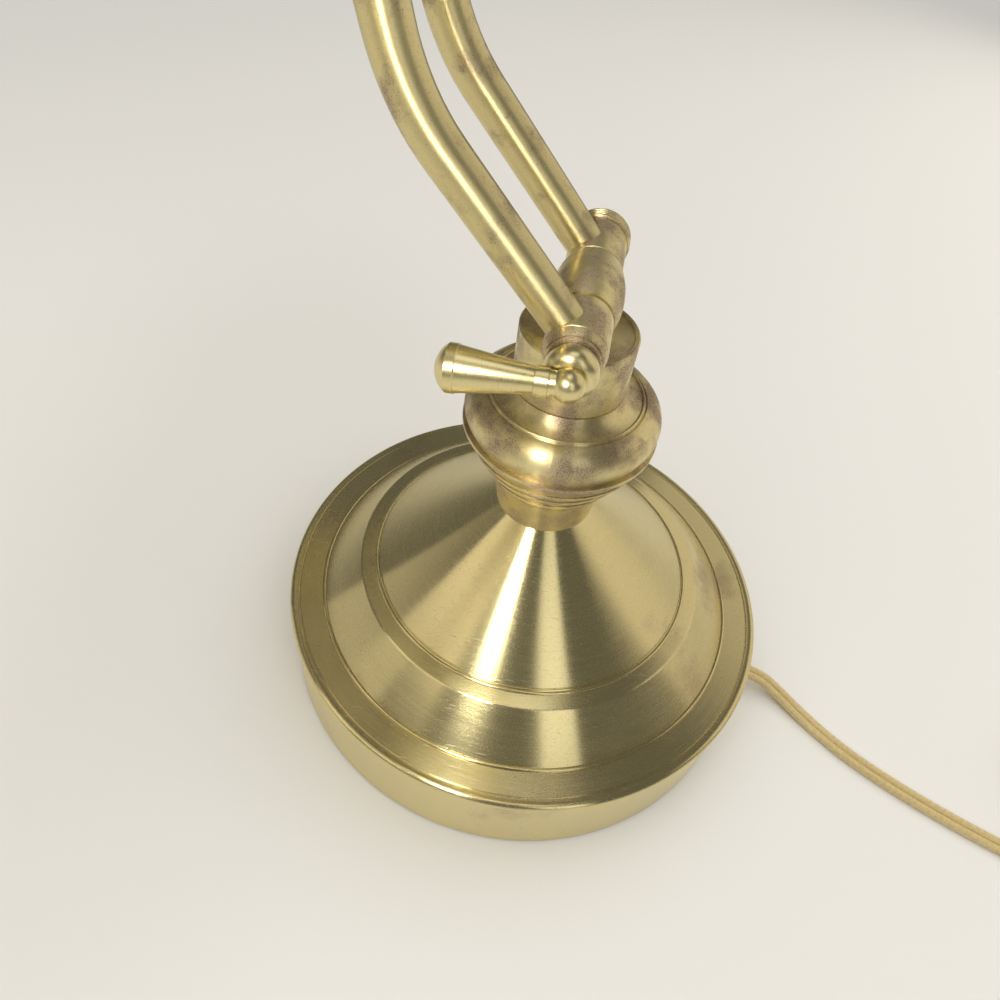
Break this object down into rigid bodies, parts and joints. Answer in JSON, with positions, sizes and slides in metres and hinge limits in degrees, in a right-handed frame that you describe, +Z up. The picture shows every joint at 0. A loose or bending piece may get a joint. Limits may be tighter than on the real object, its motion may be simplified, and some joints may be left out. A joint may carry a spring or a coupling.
{
  "type": "piano lamp",
  "caption": "Brass piano lamp: a weighted stepped base with a turned vase, twin bent tubes between key-clamped crossbars, and a long half-round shade.",
  "frame": {"origin": "centre of the base's underside, on the surface the lamp stands on", "axes": "+Z up; -Y towards the front, where the arm leans and the shade hangs; +X along both crossbars and the shade, towards the clamp keys"},
  "size_m": [0.3595, 0.4986, 0.3708],
  "materials": {
    "brass": "satin",
    "iron": "as cast, painted black",
    "steel": "zinc plated",
    "felt": "felt",
    "fibre": "matt",
    "insulator": "moulded",
    "bulb_cap": "satin",
    "glass": "frosted",
    "wire": "insulated wire",
    "cord": "translucent gold"
  },
  "bodies": {
    "base": {"base_shell": "brass", "base_weight": "iron", "base_plate": "fibre", "base_felt": "felt", "centre_nipple": "steel", "nipple_washer": "steel", "nipple_nut": "steel", "neck_turning": "brass", "vase_bowl": "brass", "saddle_head": "brass", "lower_barrel": "brass", "lead_base": "wire", "cord_bushing": "cord", "cord_tube": "cord", "cord_coil": "cord", "plug_body": "cord", "plug_blades": "brass"},
    "arm": {"lower_near_hub": "brass", "lower_far_hub": "brass", "lower_far_cap": "brass", "lower_washer_ring": "brass", "near_tube": "brass", "far_tube": "brass", "upper_near_hub": "brass", "upper_far_hub": "brass", "upper_far_cap": "brass", "upper_washer_ring": "brass", "lead_arm": "wire"},
    "lower_clamp": {"lower_collar": "brass", "lower_bolt": "steel", "lower_key": "brass"},
    "upper_clamp": {"upper_collar": "brass", "upper_bolt": "steel", "upper_key": "brass"},
    "shade": {"upper_barrel": "brass", "crown_collar": "brass", "stem_washer": "steel", "stem_nut": "steel", "shade_shell": "brass", "shade_end_near": "brass", "shade_end_far": "brass", "socket_post": "steel", "socket_nut_outer": "brass", "socket_nut_inner": "steel", "socket_shell": "brass", "socket_insert": "insulator", "socket_contact": "brass", "bulb_cap": "bulb_cap", "bulb_glass": "glass", "switch_body": "insulator", "switch_nut": "brass", "lead_shade": "wire", "lead_socket": "wire"},
    "knob": {"switch_knob": "brass"}
  },
  "joints": [
    {"name": "arm_tilt", "type": "hinge", "parent": "base", "child": "arm", "pos_m": [0, 0, 0.1698], "axis": [1, 0, 0], "range_deg": [-75, 50]},
    {"name": "shade_tilt", "type": "hinge", "parent": "arm", "child": "shade", "pos_m": [0, -0.14322, 0.34037], "axis": [1, 0, 0], "range_deg": [-75, 20]},
    {"name": "lower_key_turn", "type": "hinge", "parent": "arm", "child": "lower_clamp", "pos_m": [0, 0, 0.1698], "axis": [1, 0, 0], "range_deg": [0, 180]},
    {"name": "upper_key_turn", "type": "hinge", "parent": "arm", "child": "upper_clamp", "pos_m": [0, -0.14322, 0.34037], "axis": [1, 0, 0], "range_deg": [0, 90]},
    {"name": "switch_turn", "type": "hinge", "parent": "shade", "child": "knob", "pos_m": [-0.096, -0.14322, 0.3297], "axis": [0, 0, 1], "continuous": true}
  ]
}
